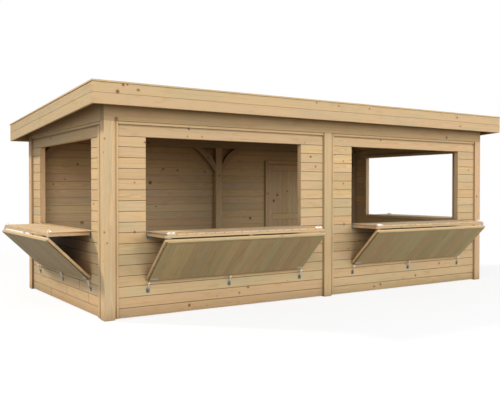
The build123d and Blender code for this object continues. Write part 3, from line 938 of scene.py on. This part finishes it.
def door():
    """Upright boards outside, stiles and rails inside."""
    x, y, z = (levels(corners(solids("door_leaf")[0]), i) for i in range(3))
    piece = Piece()
    count = round((x[1] - x[0]) / BOARD_PITCH)
    pitch = (x[1] - x[0]) / count
    for row in range(count):
        rebate = GROOVE_WIDTH if row < count - 1 else 0.0
        profile = board_profile(row * pitch, (row + 1) * pitch, y[1] - y[0], rebate)
        piece.prism(profile, z[0], z[1], (0, 0, 1), (1, 0, 0), (0, 1, 0), (x[0], y[0], 0))
    piece.build("door_boards", PINE, "back_door", "door_leaf")
    x, y, z = (levels(corners(solids("door_ledges")[0]), i) for i in range(3))
    frame_piece = Piece()
    for x0, x1 in ((x[0], x[1]), (x[2], x[3])):
        frame_piece.block((x0, y[0], z[0]), (x1, y[1], z[-1]))
    for low in range(0, len(z), 2):
        frame_piece.block((x[1], y[0], z[low]), (x[2], y[1], z[low + 1]))
    frame_piece.build("door_stiles_rails", PINE, "back_door", "door_ledges")


door()


def screw(piece, place, axis):
    """A screw head with a cross recess."""
    turn = rng.uniform(0, math.pi)
    rings = []
    for reach, height, waist in SCREW_RINGS:
        ring = []
        for i in range(SCREW_SIDES):
            angle = turn + 2 * math.pi * i / SCREW_SIDES
            radius = SCREW_RADIUS * reach * (waist if i % 3 else 1.0)
            ring.append((radius * math.cos(angle), radius * math.sin(angle), SCREW_RADIUS * height))
        rings.append(ring)
    piece.turned(rings, place, axis, WORN_ZINC)


def bolt_knob(piece, place, axis):
    """The knob that a slide bolt is drawn by."""
    turns = [2 * math.pi * i / SCREW_SIDES for i in range(SCREW_SIDES)]
    rings = [[(r * math.cos(t), r * math.sin(t), z) for t in turns] for r, z in KNOB_RINGS]
    piece.turned(rings, place, axis, BRIGHT_ZINC_AND_GLINT)


def plate_screws(piece, part, axis):
    """Screws near the corners of the plate that a part shows along an axis, or down its middle on a strap."""
    shown = [f for f in part.faces if f.normal.dot(axis) > FACING]
    plate = max(shown, key=lambda f: f.calc_area())
    level = plate.verts[0].co.dot(axis)
    points = [v.co for f in shown for v in f.verts if abs(v.co.dot(axis) - level) < HAIR]
    longest = max(plate.edges, key=lambda e: e.calc_length())
    along = (longest.verts[1].co - longest.verts[0].co).normalized()
    across = axis.cross(along)
    spans = []
    for way in (along, across):
        reach = [p.dot(way) for p in points]
        spans.append((min(reach) + SCREW_INSET, max(reach) - SCREW_INSET))
    (u0, u1), (v0, v1) = spans
    if u1 - u0 > STRAP_RATIO * (v1 - v0 + 2 * SCREW_INSET):
        v0 = v1 = (v0 + v1) / 2
    count = round((u1 - u0) / SCREW_STEP) + 2
    for i in range(count):
        for v in sorted({v0, v1}):
            u = u0 + (u1 - u0) * i / (count - 1)
            screw(piece, along * u + across * v + axis * level, axis)


def wall_way(place):
    """Out of the wall that a place lies on."""
    posts = corners_box("corner_posts")
    if place.y < posts[0].y + WALL_REACH:
        return Vector((0, -1, 0))
    if place.y > posts[1].y - WALL_REACH:
        return Vector((0, 1, 0))
    return Vector((math.copysign(1, place.x), 0, 0))


def hook_reflection_tint(high):
    """A hook's painted reflection: a bright glint on the knob, a darker reflection on the rod and plate."""
    return lambda p: BRIGHT_ZINC_AND_GLINT if p[2] > high - HOOK_TOP else DARK_REFLECTION_ZINC


def corners_box(node):
    """The low and high corner of a node's box."""
    points = [v.co for v in nodes[node].data.vertices]
    return [Vector([pick(p[i] for p in points) for i in range(3)]) for pick in (min, max)]


def ironwork(node):
    """Hinges, hooks, bolts and handle, with their screws."""
    piece = Piece()
    leaf = node.replace("_ironwork", "_leaf" if "brace" in node else "")
    on_leaf = leaf in nodes and leaf != "door_leaf"
    if on_leaf:
        middle, (_, _, out), steps = leaf_frame(leaf)
    for part in solids(node):
        points = [v.co.copy() for v in part.verts]
        place = sum(points, Vector()) / len(points)
        if on_leaf:
            side = (place - middle).dot(out)
            axis = out * math.copysign(1, side)
            shown = abs(side) > steps[2][2] - steps[2][0] - SNAP
        else:
            axis = wall_way(place)
            shown = True
        plain = max((f.calc_area() for f in part.faces if f.normal.dot(axis) > FACING), default=0.0)
        is_bolt = on_leaf and shown and side > 0 and plain > PLATE_AREA
        if shown and plain > PLATE_AREA:
            plate_screws(piece, part, axis)
            if is_bolt and "counter" in node:
                top = max(p.dot(axis) for p in points)
                bolt_knob(piece, place + axis * (top - place.dot(axis) - KNOB_SINK), axis)
        low, high = (pick(p.z for p in points) for pick in (min, max))
        is_hook = node == "wall_ironwork" and high - low > HOOK_HEIGHT
        # Hooks carry painted reflections: a bright knob, and a dark rod and plate
        piece.solid(part, STEEL_EASE, hook_reflection_tint(high) if is_hook else BRIGHT_ZINC_AND_GLINT if is_bolt else WORN_ZINC)
        part.free()
    piece.build(node + "_dressed", ZINC, body_of[node], node)


for name in nodes:
    if name.endswith("ironwork"):
        ironwork(name)


def corner_strips():
    """Upright strips on the end walls, set off from the front corner posts."""
    piece = Piece()
    width, proud = CORNER_STRIP
    for node in END_WALLS:
        points = corners(solids(node)[0])
        faces, ends, heights = (levels(points, axis) for axis in range(3))
        inner, outer = sorted(faces, key=abs)
        along, out, origin = wall_axes(1, inner, outer)
        start, base = ends[0] + NEAR_FILLET, abs(outer - inner)
        end, face = start + width, base + proud
        profile = [(start, base), (start, face - BOARD_ARRIS), (start + BOARD_ARRIS, face),
                   (end - BOARD_ARRIS, face), (end, face - BOARD_ARRIS), (end, base)]
        piece.prism(profile, heights[0], heights[-1] - TOP_REBATE, UP, along, out, origin)
    piece.build("corner_strips", PINE, "stall", slot="lining_timber")


corner_strips()


def stage():
    """A pale floor that keeps the shadow near the object and runs out to white."""
    mesh = bpy.data.meshes.new("floor")
    grid = bmesh.new()
    bmesh.ops.create_circle(grid, cap_ends=True, radius=FLOOR_RADIUS, segments=FLOOR_SIDES)
    grid.to_mesh(mesh)
    grid.free()
    floor = bpy.data.objects.new("floor", mesh)
    bpy.context.scene.collection.objects.link(floor)
    s = Shader("floor_paper")
    s.surface.inputs["Roughness"].default_value = 1.0
    s.surface.inputs["Specular IOR Level"].default_value = 0.0
    place = s.node("ShaderNodeTexCoord").outputs["Object"]
    away = s.node("ShaderNodeVectorMath", {0: place}, operation="LENGTH").outputs["Value"]
    seen = s.seen()
    s.feed(s.surface.inputs["Base Color"], s.mix(seen, FLOOR_BOUNCE, FLOOR_SEEN))
    lift = s.math("MULTIPLY", s.span(away, *FLOOR_FADE, FLOOR_LIFT, 1.0), seen)
    white = s.node("ShaderNodeEmission", {"Color": (1, 1, 1, 1), "Strength": 1.0})
    both = s.node("ShaderNodeMixShader", {0: lift, 1: s.surface.outputs[0], 2: white.outputs[0]})
    s.feed(s.tree.nodes["Material Output"].inputs["Surface"], both.outputs[0])
    mesh.materials.append(s.material)


def lights():
    """A cool dome, a low warm sun behind the left end and large soft lamps in front."""
    world = bpy.data.worlds.new("studio")
    bpy.context.scene.world = world
    world.use_nodes = True
    world.node_tree.nodes.clear()
    sky = Nodes(world.node_tree)
    dome = sky.node("ShaderNodeBackground", {"Color": DOME_COLOUR, "Strength": DOME_STRENGTH}).outputs[0]
    white = sky.node("ShaderNodeBackground", {"Color": (1, 1, 1, 1), "Strength": 1.0}).outputs[0]
    both = sky.node("ShaderNodeMixShader", {0: sky.seen(), 1: dome, 2: white}).outputs[0]
    sky.node("ShaderNodeOutputWorld", {"Surface": both})
    sun = bpy.data.lights.new("sun", "SUN")
    sun.energy = SUN_STRENGTH
    sun.color = SUN_COLOUR
    sun.angle = math.radians(SUN_ANGLE)
    sun_object = bpy.data.objects.new("sun", sun)
    sun_object.rotation_euler = Vector(SUN_FROM).to_track_quat("Z", "Y").to_euler()
    bpy.context.scene.collection.objects.link(sun_object)
    for name, place, size, power, colour in LAMPS:
        lamp = bpy.data.lights.new(name, "AREA")
        lamp.shape = "DISK"
        lamp.size = size
        lamp.energy = power
        lamp.color = colour
        lamp_object = bpy.data.objects.new(name, lamp)
        lamp_object.location = place
        aim = Vector(LAMP_AIM) - Vector(place)
        lamp_object.rotation_euler = aim.to_track_quat("-Z", "Y").to_euler()
        bpy.context.scene.collection.objects.link(lamp_object)


def camera():
    """The camera, at the photograph's viewing angle."""
    data = bpy.data.cameras.new("camera")
    data.lens = CAMERA_LENS
    data.sensor_width = SENSOR_WIDTH
    made = bpy.data.objects.new("camera", data)
    made.location = CAMERA_PLACE
    made.rotation_euler = [math.radians(a) for a in CAMERA_TURN]
    bpy.context.scene.collection.objects.link(made)
    bpy.context.scene.camera = made


stage()
lights()
camera()
bpy.context.scene.view_settings.view_transform = "Standard"
